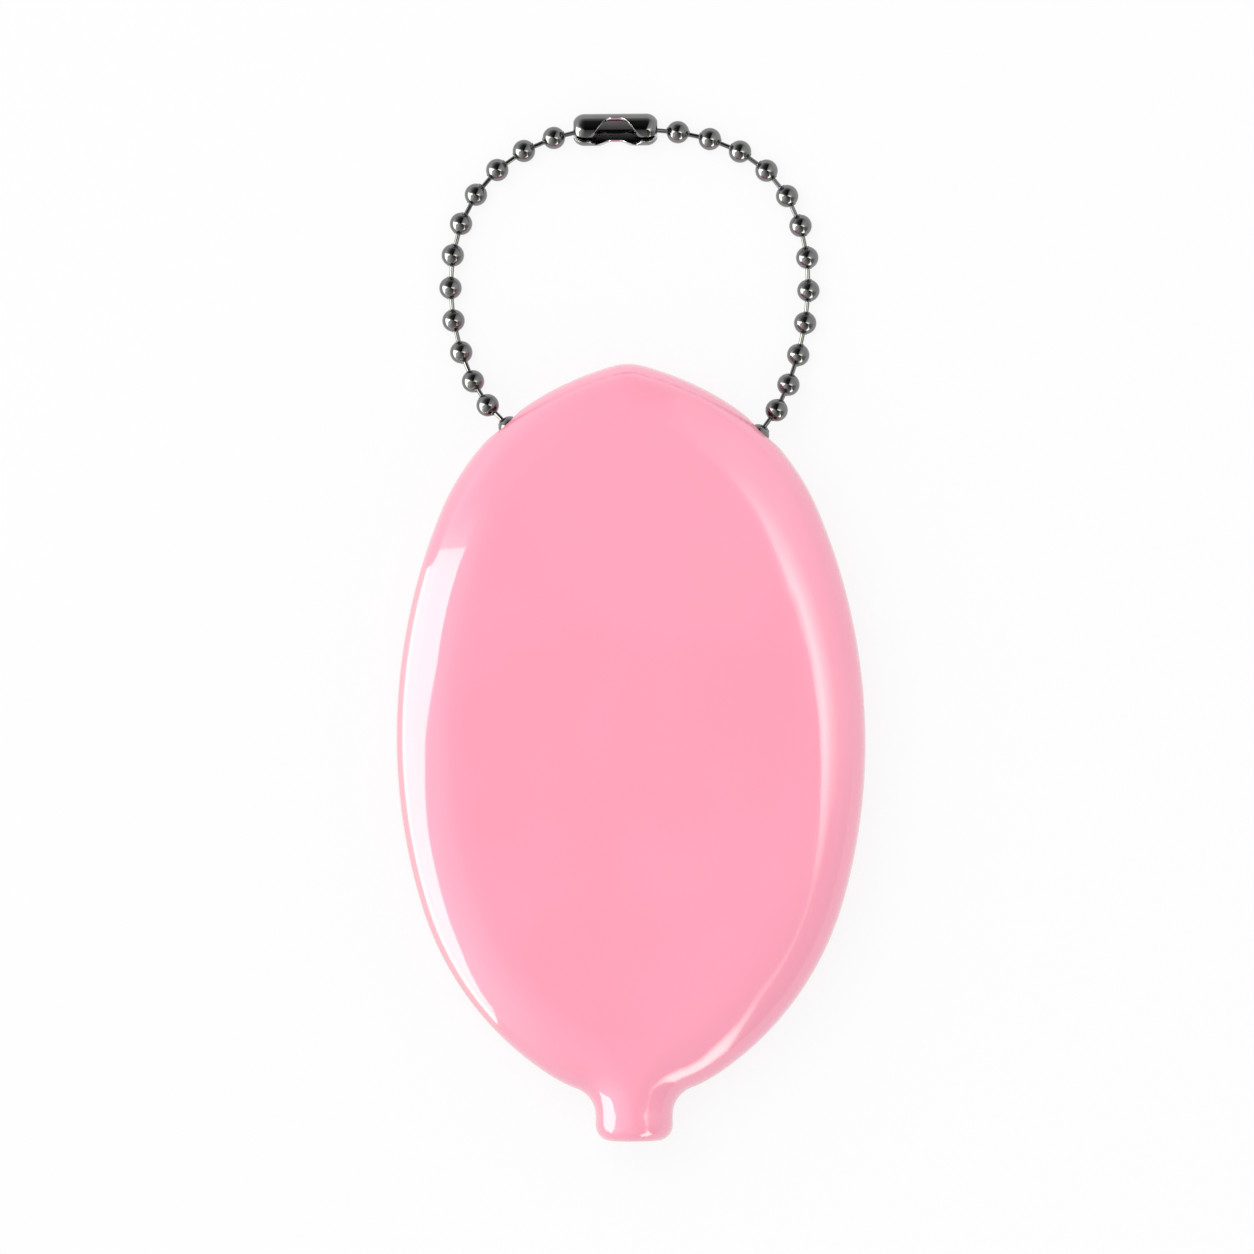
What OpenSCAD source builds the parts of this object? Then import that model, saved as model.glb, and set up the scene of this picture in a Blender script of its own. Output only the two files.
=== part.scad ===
// Squeeze coin purse: a hollow oval of soft vinyl with a slit down its flat back, and a ball chain
// threaded through two small slits in its top rim and closed by a snap connector.
// The purse lies on its back. X runs to the right, Y towards the chain and Z out of the front face.
// The origin is on the flat back, below the middle of the widest line.

/* [Purse] */
// Width of the purse across its widest line
purse_w = 49.6; // [46:0.1:56]
// Distance from the widest line to the tip of the nub at the top
top_reach = 39.8; // [38:0.1:43]
// Distance from the widest line to the bottom of the oval
bottom_reach = 38; // [36:0.1:42]
// Thickness of the purse from its flat back to its front face
thickness = 9.6; // [8.4:0.1:10.4]
// Thickness of the vinyl wall
wall = 1.6; // [1.2:0.05:2]

/* [Outline] */
// Angle at which the side curve of the top half hands over to the shoulder curve
side_turn = 22.5; // [18:0.5:26]
// Angle at which the shoulder curve hands over to the flank of the nub
shoulder_turn = 59; // [56:0.5:62]
// Angle at which the flank hands over to the rounded tip of the nub
flank_turn = 75; // [73:0.5:77]
// Radius of the flank of the nub
flank_r = 32; // [26:0.5:40]
// How much larger the tip's radius is than the rounding of the rim
tip_extra_r = 0.8; // [0.4:0.1:2]
// Angle at which the side curve of the bottom half hands over to the hip curve
lower_turn = 16.5; // [13:0.5:20]
// Angle at which the hip curve hands over to the bottom curve
hip_turn = 56; // [52:0.5:60]
// Radius of the bottom curve
bottom_r = 16.4; // [14:0.1:18]

/* [Stub] */
// Diameter of the moulded stub at the bottom
stub_d = 8.2; // [7:0.1:9]
// How far the stub stands out past the bottom of the oval
stub_reach = 4.4; // [3.6:0.1:8]
// Rounding of the stub's end
stub_corner_r = 1.7; // [1:0.1:2.4]
// Radius of the hollow curve between the oval and the stub
neck_r = 3; // [2:0.1:3.6]

/* [Coin slit] */
// Length of the slit down the back
slit_l = 58; // [44:1:60]
// Width of the closed slit
slit_gap = 0.3; // [0.2:0.05:0.5]
// Distance from the slit to the line about which each lip bends
lip_w = 17; // [13:0.5:17.5]
// Gap between a lip's slanted edges and the back wall
lip_gap = 0.15; // [0.1:0.05:0.3]

/* [Ball chain] */
// Diameter of a bead
bead_d = 2.4; // [2:0.1:2.6]
// Thickness of the sheet that a bead is rolled from
bead_sheet = 0.22; // [0.15:0.01:0.26]
// Distance between neighbouring beads when the chain is stretched
bead_pitch = 3.46; // [3.4:0.01:3.8]
// Diameter of the pin that joins two beads
pin_d = 0.48; // [0.4:0.02:0.52]
// Play of a pin in a bead's hole, on each side
pin_play = 0.08; // [0.06:0.01:0.1]
// How much larger than the hole a pin's ball end is, on each side
head_grip = 0.04; // [0.02:0.01:0.06]
// Gap between a pin's ball end and the inside of the bead
head_play = 0.09; // [0.05:0.01:0.12]
// Number of pitches from the left slit to the bead held in the connector
left_links = 12; // [10:1:14]
// Number of pitches from the right slit to the bead held in the connector
right_links = 13; // [11:1:15]

/* [Chain slits] */
// Distance of the left chain slit from the middle line
left_slit_x = 13; // [11:0.1:14]
// Distance of the right chain slit from the middle line
right_slit_x = 14.2; // [11:0.1:15]
// How far the middle of the bead in a slit lies inside the rim's edge
slit_sink = 0.75; // [0.3:0.05:0.9]
// Length of each chain slit along the rim
chain_slit_l = 5.8; // [4.5:0.1:7]
// Gap between the chain and the vinyl that it passes through
chain_play = 0.15; // [0.1:0.01:0.2]

/* [Chain loop] */
// Distance from the tip of the nub to the middle of the connector
connector_reach = 24.8; // [23:0.1:27]
// Sideways place of the connector
connector_x = -1.1; // [-3:0.1:3]
// Angle from straight up at which the left side leaves its slit
left_lean = 54.8; // [45:0.2:75]
// Length of the stretch that holds this lean
left_start = 9; // [4:0.1:10]
// Angle at which the left side dips away from the connector
left_dip = 9.4; // [4:0.2:14]
// Length of the stretch that holds this dip
left_sweep = 20.4; // [18:0.1:28]
// Angle from straight up at which the right side leaves its slit
right_lean = 52; // [45:0.2:75]
// Length of the stretch that holds this lean
right_start = 5.8; // [4:0.1:9]
// Angle at which the right side dips away from the connector
right_dip = 1.9; // [0:0.1:8]
// Length of the stretch that holds this dip
right_sweep = 25.4; // [18:0.1:28]
// Number of links over which the chain comes down from a slit to the table
ramp_links = 3; // [3:1:5]

/* [Connector] */
// Length of the connector
connector_l = 9.1; // [8.6:0.1:10]
// Diameter of the connector
connector_d = 3.4; // [3.3:0.05:3.8]
// Thickness of the connector's sheet
connector_sheet = 0.3; // [0.2:0.05:0.3]
// Rounding of the connector's ends
connector_corner_r = 1; // [0.6:0.05:1.2]
// Distance between the two beads that the connector holds
held_spacing = 6.4; // [5.6:0.1:6.6]
// Diameter of the hole in each end of the connector
end_hole_d = 1.7; // [1.5:0.05:1.8]
// Length of the widest part of the mouth
mouth_flat_l = 1.5; // [1:0.1:2]
// Length over which the mouth narrows down to the slot on both sides
mouth_l = 5.8; // [5:0.1:6]
// Width of the slot that runs from the mouth to each end
slot_w = 0.66; // [0.6:0.02:0.8]
// Angle by which the mouth is turned from the front towards the purse
mouth_turn = 41; // [0:1:90]

/* [Hidden] */
$fn = 72;

vinyl = "lightpink";
metal = "dimgray";

half_w = purse_w / 2;
half_t = thickness / 2;
// Small excess by which a cut passes the surface that it opens
through = 0.5;

function total(list, k = 0) = k < len(list) ? list[k] + total(list, k + 1) : 0;

// The outline of one half is a row of arcs that meet smoothly. They turn from the side (angle 0) to the
// middle line (angle 90). The last radii are given, and the first two follow from the width and the reach.
function first_radii(reach, turns, given) =
    let (
        last = len(given) - 1,
        steps = [for (i = [0 : 1 : last - 1]) given[i] - given[i + 1]],
        tail_x = total([for (i = [0 : 1 : last - 1]) steps[i] * cos(turns[i + 2])]),
        tail_y = total([for (i = [0 : 1 : last - 1]) steps[i] * sin(turns[i + 2])]),
        a = cos(turns[0]) - 1,
        b = cos(turns[1]) - cos(turns[0]),
        c = sin(turns[0]),
        d = sin(turns[1]) - sin(turns[0]),
        x = given[0] * cos(turns[1]) - half_w - tail_x,
        y = reach - given[last] + given[0] * sin(turns[1]) - tail_y,
        det = a * d - b * c
    )
    [(x * d - b * y) / det, (a * y - c * x) / det];

function arc_centre(radii, turns, k) =
    k == 0
        ? [half_w - radii[0], 0]
        : arc_centre(radii, turns, k - 1)
            + (radii[k - 1] - radii[k]) * [cos(turns[k - 1]), sin(turns[k - 1])];

// Each arc is [centre, radius, first angle, last angle]
function half_outline(reach, turns, given) =
    let (radii = concat(first_radii(reach, turns, given), given))
    [for (k = [0 : len(radii) - 1])
        [arc_centre(radii, turns, k), radii[k], k == 0 ? 0 : turns[k - 1], k < len(turns) ? turns[k] : 90]];

top_arcs = half_outline(top_reach, [side_turn, shoulder_turn, flank_turn], [flank_r, half_t + tip_extra_r]);
bottom_arcs = half_outline(bottom_reach, [lower_turn, hip_turn], [bottom_r]);

// Angle of the outline's normal where the top outline is at distance x from the middle line
function normal_angle(arcs, x, k = 0) =
    let (angle = acos((x - arcs[k][0][0]) / arcs[k][1]))
    angle <= arcs[k][3] ? [k, angle] : normal_angle(arcs, x, k + 1);

function inset_point(arcs, place, depth) =
    let (arc = arcs[place[0]])
    arc[0] + (arc[1] - depth) * [cos(place[1]), sin(place[1])];

// The chain slits: normal angle and bead centre of each
left_place = normal_angle(top_arcs, left_slit_x);
right_place = normal_angle(top_arcs, right_slit_x);
left_slit_angle = 180 - left_place[1];
right_slit_angle = right_place[1];
right_slit = inset_point(top_arcs, right_place, slit_sink);
left_slit_mirrored = inset_point(top_arcs, left_place, slit_sink);
left_slit = [-left_slit_mirrored[0], left_slit_mirrored[1]];

bead_r = bead_d / 2;
bead_bore_r = bead_r - bead_sheet;
pin_r = pin_d / 2;
hole_r = pin_r + pin_play;
head_r = hole_r + head_grip;
// A pin's ball end sits this far from the middle of its bead
head_depth = bead_bore_r - head_play - head_r;
pin_l = bead_pitch - 2 * head_depth;
// Two ball ends in one bead keep at least this gap
head_gap = 0.08;
passage_r = bead_r + chain_play;

connector_r = connector_d / 2;
connector_bore_r = connector_r - connector_sheet;
connector_y = top_reach + connector_reach;

// Places of the beads
table_level = bead_r;
slit_level = half_t;
held_level = connector_r;

function smooth(u) = u * u * (3 - 2 * u);

function level(k, links) =
    k == links ? held_level
    : k < ramp_links ? table_level + (slit_level - table_level) * smooth(1 - k / ramp_links)
    : table_level;

// Length of the step from bead k - 1 to bead k, seen from above
function flat_step(k, links) = sqrt(pow(bead_pitch, 2) - pow(level(k, links) - level(k - 1, links), 2));

function curve_point(c, t) =
    pow(1 - t, 3) * c[0] + 3 * pow(1 - t, 2) * t * c[1] + 3 * (1 - t) * t * t * c[2] + pow(t, 3) * c[3];

// Number of halvings in each search below
passes = 24;

// Place on the curve that is one step on from the place t, found by halving
function next_place(c, t, step, low, high, left) =
    left == 0 ? low
    : let (mid = (low + high) / 2)
        norm(curve_point(c, mid) - curve_point(c, t)) < step
            ? next_place(c, t, step, mid, high, left - 1)
            : next_place(c, t, step, low, mid, left - 1);

function walk(c, links, k = 1, t = 0) =
    k == links ? []
    : let (place = next_place(c, t, flat_step(k, links), t, 1, passes))
        concat([place], walk(c, links, k + 1, place));

// What is left over, along the curve, when every bead of one side is placed
function slack(c, links) =
    let (places = walk(c, links))
    norm(curve_point(c, places[links - 2]) - c[3]) - flat_step(links, links);

// One side's curve, from the slit to the bead that the connector holds: [from, to, hand, lean, start, dip, sweep]
function side_curve(s, bulge) = [
    s[0],
    s[0] + bulge * s[4] * [s[2] * sin(s[3]), cos(s[3])],
    s[1] + bulge * s[6] * [s[2] * cos(s[5]), -sin(s[5])],
    s[1]
];

// The sides bulge just enough for their whole number of links, found by halving
least_bulge = 0.3;
most_bulge = 2;

function fitted_bulge(s, links, low, high, left) =
    left == 0 ? (low + high) / 2
    : let (mid = (low + high) / 2)
        slack(side_curve(s, mid), links) > 0
            ? fitted_bulge(s, links, low, mid, left - 1)
            : fitted_bulge(s, links, mid, high, left - 1);

function side_route(s, links) =
    let (
        c = side_curve(s, fitted_bulge(s, links, least_bulge, most_bulge, passes)),
        places = concat([0], walk(c, links), [1])
    )
    [for (k = [0 : links]) let (p = curve_point(c, places[k])) [p[0], p[1], level(k, links)]];

left_held = [connector_x - held_spacing / 2, connector_y];
right_held = [connector_x + held_spacing / 2, connector_y];
left_route = side_route([left_slit, left_held, -1, left_lean, left_start, left_dip, left_sweep], left_links);
right_route =
    side_route([right_slit, right_held, 1, right_lean, right_start, right_dip, right_sweep], right_links);

// The hidden run is straight, with its links pushed together until they fit
run_from = left_route[0];
run_to = right_route[0];
run_l = norm(run_to - run_from);
run_links = ceil(run_l / bead_pitch);
run_pitch = run_l / run_links;
run_head_depth = max((run_pitch - pin_l) / 2, head_r + head_gap / 2);

function run_point(k) = run_from + (run_to - run_from) * k / run_links;

// Lips: the back's opening is a long diamond, cut in two along the slit
diamond = [[0, slit_l / 2], [-lip_w, 0], [0, -slit_l / 2], [lip_w, 0]];
lip_share = 1 - lip_gap * norm([1 / lip_w, 2 / slit_l]);
lip_end_y = slit_l / 2 * (lip_share - slit_gap / 2 / lip_w);

module along(v) {
    rotate([0, acos(v[2] / norm(v)), atan2(v[1], v[0])]) children();
}

// Largest angle between neighbouring points round the outline
arc_step = 7.5;
// Number of faces round the half circle of the rim
rim_steps = 6;

// Points of one half outline at a depth inside it, from the side to the middle line
function half_points(arcs, depth) =
    [for (arc = arcs)
        let (steps = ceil((arc[3] - arc[2]) / arc_step))
        for (i = [0 : steps - 1])
            let (angle = arc[2] + (arc[3] - arc[2]) * i / steps)
            arc[0] + (arc[1] - depth) * [cos(angle), sin(angle)]];

function mirrored(points, x, y) = [for (p = points) [p[0] * x, p[1] * y]];

function backwards(points) = [for (i = [len(points) - 1 : -1 : 0]) points[i]];

function but_first(points) = [for (i = [1 : len(points) - 1]) points[i]];

// The whole outline at a depth inside it, turning left from the right-hand side point
function outline(depth) =
    let (
        top = half_points(top_arcs, depth),
        low = half_points(bottom_arcs, depth),
        tip = [0, top_reach - depth],
        base = [0, depth - bottom_reach]
    )
    concat(
        top, [tip], backwards(mirrored(top, -1, 1)),
        mirrored(but_first(low), -1, -1), [base], backwards(mirrored(but_first(low), 1, -1))
    );

// The oval pillow, set in by a distance on every side: flat front and back, and a round rim
module oval(inset) {
    rim_r = half_t - inset;
    rings = [for (j = [0 : rim_steps])
        let (angle = -90 + 180 * j / rim_steps)
        [for (p = outline(half_t - rim_r * cos(angle))) [p[0], p[1], half_t + rim_r * sin(angle)]]];
    count = len(rings[0]);
    polyhedron(
        points = [for (ring = rings) for (p = ring) p],
        faces = concat(
            [[for (i = [0 : count - 1]) i]],
            [for (j = [0 : rim_steps - 1]) for (i = [0 : count - 1])
                let (next = (i + 1) % count)
                each [
                    [j * count + i, (j + 1) * count + i, (j + 1) * count + next],
                    [j * count + i, (j + 1) * count + next, j * count + next]
                ]],
            [[for (i = [count - 1 : -1 : 0]) rim_steps * count + i]]
        )
    );
}

stub_r = stub_d / 2;
stub_end = bottom_reach + stub_reach;
// The neck's curve touches both the stub and the bottom curve, and bites a little into the latter
neck_bite = 0.02;
neck_x = stub_r + neck_r;
neck_y = bottom_reach - bottom_r + sqrt(pow(bottom_r + neck_r - neck_bite, 2) - pow(neck_x, 2));
neck_angle = atan2(neck_y - (bottom_reach - bottom_r), neck_x);
neck_top_r = neck_x - neck_r * cos(neck_angle);
// The stub's solid root reaches past the rounding of the rim by this much
root_margin = 1;
stub_root = bottom_reach - half_t - root_margin;

// A round corner of a half cross-section, cut off at the axis
module round_corner(x, y, r) {
    intersection() {
        translate([x, y]) circle(r);
        translate([0, y - r]) square([x + r, 2 * r]);
    }
}

// Half cross-section of the stub and neck, with its radius along X and the way down along Y
module stub_section() {
    difference() {
        union() {
            translate([0, stub_root]) square([neck_top_r, neck_y - stub_root]);
            translate([0, stub_root]) square([stub_r, stub_end - stub_corner_r - stub_root]);
            translate([0, stub_root]) square([stub_r - stub_corner_r, stub_end - stub_root]);
            round_corner(stub_r - stub_corner_r, stub_end - stub_corner_r, stub_corner_r);
        }
        translate([neck_x, neck_y]) circle(neck_r);
    }
}

module stub() {
    intersection() {
        translate([0, 0, half_t])
            rotate([90, 0, 0])
                rotate_extrude() stub_section();
        translate([-half_w, -stub_end - through, 0])
            cube([purse_w, stub_end, thickness]);
    }
}

module stub_bore() {
    translate([0, -stub_root, half_t])
        rotate([90, 0, 0])
            cylinder(h = stub_end - wall - stub_root, r = stub_r - wall);
}

// A lens-shaped cut through the rim, as long as the slit and just high enough for a bead
module chain_slit(centre, angle) {
    high = passage_r;
    long = chain_slit_l / 2;
    lens_r = (long * long + high * high) / (2 * high);
    translate([centre[0], centre[1], half_t])
        rotate([0, 0, angle])
            translate([-wall - through, 0, 0])
                rotate([90, 0, 90])
                    linear_extrude(wall + 2 * through + slit_sink)
                        intersection() {
                            translate([0, lens_r - high]) circle(lens_r);
                            translate([0, high - lens_r]) circle(lens_r);
                        }
}

module pouch_shell() {
    color(vinyl)
        difference() {
            union() {
                oval(0);
                stub();
            }
            oval(wall);
            stub_bore();
            translate([0, 0, -through]) linear_extrude(wall + 2 * through) polygon(diamond);
            chain_slit(left_slit, left_slit_angle);
            chain_slit(right_slit, right_slit_angle);
            translate(run_from) along(run_to - run_from) cylinder(h = run_l, r = passage_r);
        }
}

module lip(hand) {
    color(vinyl)
        linear_extrude(wall)
            polygon([
                [hand * slit_gap / 2, lip_end_y],
                [hand * lip_w * lip_share, 0],
                [hand * slit_gap / 2, -lip_end_y]
            ]);
}

module left_lip() {
    lip(-1);
}

module right_lip() {
    lip(1);
}

// A hollow bead with a hole towards each of its two neighbours. Its ball's seam lies square to the chain.
module bead(centre, before, after) {
    turn = atan2(after[1] - before[1], after[0] - before[0]) + 90;
    color(metal)
        translate(centre)
            difference() {
                rotate([0, 0, turn]) sphere(bead_r);
                rotate([0, 0, turn]) sphere(bead_bore_r);
                along(before - centre) cylinder(h = bead_d, r = hole_r);
                along(after - centre) cylinder(h = bead_d, r = hole_r);
            }
}

// A pin with a ball at each end, from the bead at one point to the bead at the other
module link(from, to, depth) {
    long = norm(to - from);
    color(metal)
        translate(from)
            along(to - from) {
                translate([0, 0, depth]) cylinder(h = long - 2 * depth, r = pin_r);
                translate([0, 0, depth]) sphere(head_r);
                translate([0, 0, long - depth]) sphere(head_r);
            }
}

module route_bead(route, k) {
    bead(route[k], route[k - 1], route[k + 1]);
}

// The bead in the connector has its free hole opposite the pin
module end_bead(route) {
    last = len(route) - 1;
    bead(route[last], route[last - 1], 2 * route[last] - route[last - 1]);
}

module route_link(route, k) {
    link(route[k - 1], route[k], head_depth);
}

module left_slit_bead() {
    bead(left_route[0], run_point(1), left_route[1]);
}

module right_slit_bead() {
    bead(right_route[0], run_point(run_links - 1), right_route[1]);
}

module hidden_beads() {
    for (k = [1 : run_links - 1]) bead(run_point(k), run_point(k - 1), run_point(k + 1));
}

module hidden_links() {
    for (k = [1 : run_links]) link(run_point(k - 1), run_point(k), run_head_depth);
}

// Half cross-section of a round-ended bar, with its radius along X and its length along Y
module bar_section(r, l, corner) {
    translate([0, corner - l / 2]) square([r, l - 2 * corner]);
    translate([0, -l / 2]) square([r - corner, l]);
    round_corner(r - corner, l / 2 - corner, corner);
    round_corner(r - corner, corner - l / 2, corner);
}

// Half of the mouth's angle round the tube at a distance x from its middle
slot_half_angle = asin(slot_w / connector_d);

function mouth_angle(x) =
    let (u = min(max((x - mouth_flat_l / 2) / (mouth_l / 2 - mouth_flat_l / 2), 0), 1))
    90 + (slot_half_angle - 90) * (1 - cos(180 * u)) / 2;

mouth_steps = 12;
// The mouth's outline is worked out just outside the tube
mouth_r = connector_r + 0.05;
mouth_edge = [for (i = [0 : mouth_steps])
    let (x = mouth_flat_l / 2 + (mouth_l - mouth_flat_l) / 2 * i / mouth_steps)
    [x, mouth_r * sin(mouth_angle(x))]];

module chain_connector() {
    color(metal)
        translate([connector_x, connector_y, held_level])
            rotate([90 - mouth_turn, 0, 0])
                difference() {
                    rotate([0, 90, 0])
                        rotate_extrude() difference() {
                            bar_section(connector_r, connector_l, connector_corner_r);
                            bar_section(
                                connector_bore_r, connector_l - 2 * connector_sheet,
                                connector_corner_r - connector_sheet
                            );
                            translate([0, -connector_l]) square([end_hole_d / 2, 2 * connector_l]);
                        }
                    rotate([90, 0, 0])
                        linear_extrude(connector_d)
                            union() {
                                polygon(concat(
                                    mouth_edge,
                                    backwards(mirrored(mouth_edge, 1, -1)),
                                    mirrored(mouth_edge, -1, -1),
                                    backwards(mirrored(mouth_edge, -1, 1))
                                ));
                                square([2 * connector_l, slot_w], center = true);
                            }
                }
}

pouch_shell();
left_lip();
right_lip();
left_slit_bead();
right_slit_bead();
hidden_beads();
hidden_links();
for (k = [1 : left_links - 1])
    route_bead(left_route, k);
for (k = [1 : right_links - 1])
    route_bead(right_route, k);
end_bead(left_route);  // left_end_bead
end_bead(right_route);  // right_end_bead
for (k = [1 : left_links])
    route_link(left_route, k);
for (k = [1 : right_links])
    route_link(right_route, k);
chain_connector();
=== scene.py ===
import math

import bmesh
import bpy
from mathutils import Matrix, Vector

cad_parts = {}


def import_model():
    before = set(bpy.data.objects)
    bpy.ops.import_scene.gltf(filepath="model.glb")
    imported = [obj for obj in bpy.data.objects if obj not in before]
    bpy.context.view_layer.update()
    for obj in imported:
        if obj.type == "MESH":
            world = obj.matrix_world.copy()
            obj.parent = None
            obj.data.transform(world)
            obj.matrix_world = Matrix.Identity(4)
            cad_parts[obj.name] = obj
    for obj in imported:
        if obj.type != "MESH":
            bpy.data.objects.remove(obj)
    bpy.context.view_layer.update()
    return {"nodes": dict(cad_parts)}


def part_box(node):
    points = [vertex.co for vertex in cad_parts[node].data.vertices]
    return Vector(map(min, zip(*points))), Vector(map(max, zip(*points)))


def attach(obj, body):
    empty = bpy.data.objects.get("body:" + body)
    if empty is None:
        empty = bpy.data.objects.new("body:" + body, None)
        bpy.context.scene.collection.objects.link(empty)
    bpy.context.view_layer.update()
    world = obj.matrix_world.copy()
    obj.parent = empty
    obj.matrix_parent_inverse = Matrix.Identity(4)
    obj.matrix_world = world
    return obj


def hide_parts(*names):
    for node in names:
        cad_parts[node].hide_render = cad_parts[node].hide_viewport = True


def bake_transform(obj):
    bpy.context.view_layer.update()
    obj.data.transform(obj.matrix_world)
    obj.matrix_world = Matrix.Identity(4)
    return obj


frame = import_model()
MM = 0.001


# ---------------------------------------------------------------- helpers
def new_mesh(name, points, faces):
    mesh = bpy.data.meshes.new(name)
    mesh.from_pydata(points, [], faces)
    return mesh


def new_piece(name, mesh, *materials):
    """An object in the scene, with its mesh and materials."""
    for material in materials:
        mesh.materials.append(material)
    piece = bpy.data.objects.new(name, mesh)
    bpy.context.collection.objects.link(piece)
    return piece


def made_mesh(piece):
    """The mesh that a piece's modifiers make."""
    bpy.context.view_layer.update()
    graph = bpy.context.evaluated_depsgraph_get()
    return bpy.data.meshes.new_from_object(piece.evaluated_get(graph))


def settle(piece, sharp_over):
    """Put the mesh that a piece's modifiers make in their place, smooth up to an angle in degrees."""
    mesh = made_mesh(piece)
    piece.modifiers.clear()
    piece.data = mesh
    mesh.shade_smooth()
    mesh.set_sharp_from_angle(angle=math.radians(sharp_over))


def blank_material(name):
    """A material whose only node is its output: material, node tree, and the surface's socket."""
    material = bpy.data.materials.new(name)
    material.use_nodes = True
    tree = material.node_tree
    tree.nodes.clear()
    return material, tree, tree.nodes.new("ShaderNodeOutputMaterial").inputs["Surface"]


def maths(tree, kind, *values):
    """The output socket of a Math node on numbers or sockets."""
    node = tree.nodes.new("ShaderNodeMath")
    node.operation = kind
    for socket, value in zip(node.inputs, values):
        if isinstance(value, (int, float)):
            socket.default_value = value
        else:
            tree.links.new(value, socket)
    return node.outputs[0]


def mixed(tree, share, first, second):
    """The output socket of a mix of two shaders' sockets."""
    mix = tree.nodes.new("ShaderNodeMixShader")
    for socket, source in zip(mix.inputs, (share, first, second)):
        tree.links.new(source, socket)
    return mix.outputs[0]


def noise(tree, scale, detail):
    """The output socket of a soft noise in the object's own space."""
    place = tree.nodes.new("ShaderNodeTexCoord")
    cloud = tree.nodes.new("ShaderNodeTexNoise")
    cloud.inputs["Scale"].default_value = scale
    cloud.inputs["Detail"].default_value = detail
    tree.links.new(place.outputs["Object"], cloud.inputs["Vector"])
    return cloud.outputs["Fac"]


def tint(tree, cloud, *ends):
    """Colour the material by a noise, along a ramp between two ends of (position, colour)."""
    ramp = tree.nodes.new("ShaderNodeValToRGB")
    for element, (position, colour) in zip(ramp.color_ramp.elements, ends):
        element.position = position
        element.color = colour
    tree.links.new(cloud, ramp.inputs["Fac"])
    tree.links.new(ramp.outputs["Color"], tree.nodes["Principled BSDF"].inputs["Base Color"])


# ---------------------------------------------------------------- studio
# A pale table seen from straight above. The photograph's frame is 132.55 mm wide at the height of the
# purse's rim, and the purse stands half a degree off upright in it.
VIEW_WIDTH = 132.55 * MM
VIEW_CENTRE = (-0.32 * MM, 11.95 * MM)
VIEW_ROLL = -0.485
CAMERA_HEIGHT = 2.0
RIM_LEVEL = 4.8 * MM
SENSOR_WIDTH = 36
NEAREST, FARTHEST = 0.01, 20

FLOOR_REACH = 3.0
HOLE_REACH_X, HOLE_REACH_Y = 19.5 * MM, 33 * MM
FLOOR_PARTS = 64
PAPER = (0.85, 0.85, 0.85, 1)
# Share of plain white in the paper, as the camera and as reflections see it
WHITE_SEEN, WHITE_MIRRORED = 0.86, 0.6

ROOM_TONE = (1, 1, 1, 1)
ROOM_LIGHT = 0.8


def camera():
    bpy.context.scene.view_settings.view_transform = "Standard"
    data = bpy.data.cameras.new("camera")
    data.sensor_width = SENSOR_WIDTH
    data.lens = data.sensor_width * (CAMERA_HEIGHT - RIM_LEVEL) / VIEW_WIDTH
    data.clip_start = NEAREST
    data.clip_end = FARTHEST
    seat = bpy.data.objects.new("camera", data)
    seat.location = (*VIEW_CENTRE, CAMERA_HEIGHT)
    seat.rotation_euler = (0, 0, math.radians(VIEW_ROLL))
    bpy.context.collection.objects.link(seat)
    bpy.context.scene.camera = seat


def floor():
    """White paper, clear from below, with a hole hidden under the flat back to light it from below."""
    paper, tree, seen = blank_material("white paper")
    matt = tree.nodes.new("ShaderNodeBsdfDiffuse")
    matt.inputs["Color"].default_value = PAPER
    white = tree.nodes.new("ShaderNodeEmission")
    white.inputs["Strength"].default_value = 1.0
    path = tree.nodes.new("ShaderNodeLightPath")
    share = maths(tree, "MAXIMUM", maths(tree, "MULTIPLY", path.outputs["Is Camera Ray"], WHITE_SEEN),
                  maths(tree, "MULTIPLY", path.outputs["Is Glossy Ray"], WHITE_MIRRORED))
    above = mixed(tree, share, matt.outputs[0], white.outputs[0])
    clear = tree.nodes.new("ShaderNodeBsdfTransparent")
    side = tree.nodes.new("ShaderNodeNewGeometry")
    tree.links.new(mixed(tree, side.outputs["Backfacing"], above, clear.outputs[0]), seen)

    turns = [2 * math.pi * i / FLOOR_PARTS for i in range(FLOOR_PARTS)]
    ovals = ((HOLE_REACH_X, HOLE_REACH_Y), (FLOOR_REACH, FLOOR_REACH))
    corners = [(x * math.cos(turn), y * math.sin(turn), 0) for x, y in ovals for turn in turns]
    faces = []
    for i in range(FLOOR_PARTS):
        after = (i + 1) % FLOOR_PARTS
        faces.append((i, FLOOR_PARTS + i, FLOOR_PARTS + after, after))
    piece = new_piece("floor", new_mesh("floor", corners, faces), paper)


def world():
    surroundings = bpy.data.worlds.new("studio")
    bpy.context.scene.world = surroundings
    surroundings.use_nodes = True
    tree = surroundings.node_tree
    soft = tree.nodes["Background"]
    soft.inputs["Color"].default_value = ROOM_TONE
    soft.inputs["Strength"].default_value = ROOM_LIGHT
    pale = tree.nodes.new("ShaderNodeBackground")
    pale.inputs["Strength"].default_value = 1.0
    path = tree.nodes.new("ShaderNodeLightPath")
    seen = mixed(tree, path.outputs["Is Camera Ray"], soft.outputs[0], pale.outputs[0])
    tree.links.new(seen, tree.nodes["World Output"].inputs["Surface"])


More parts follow.
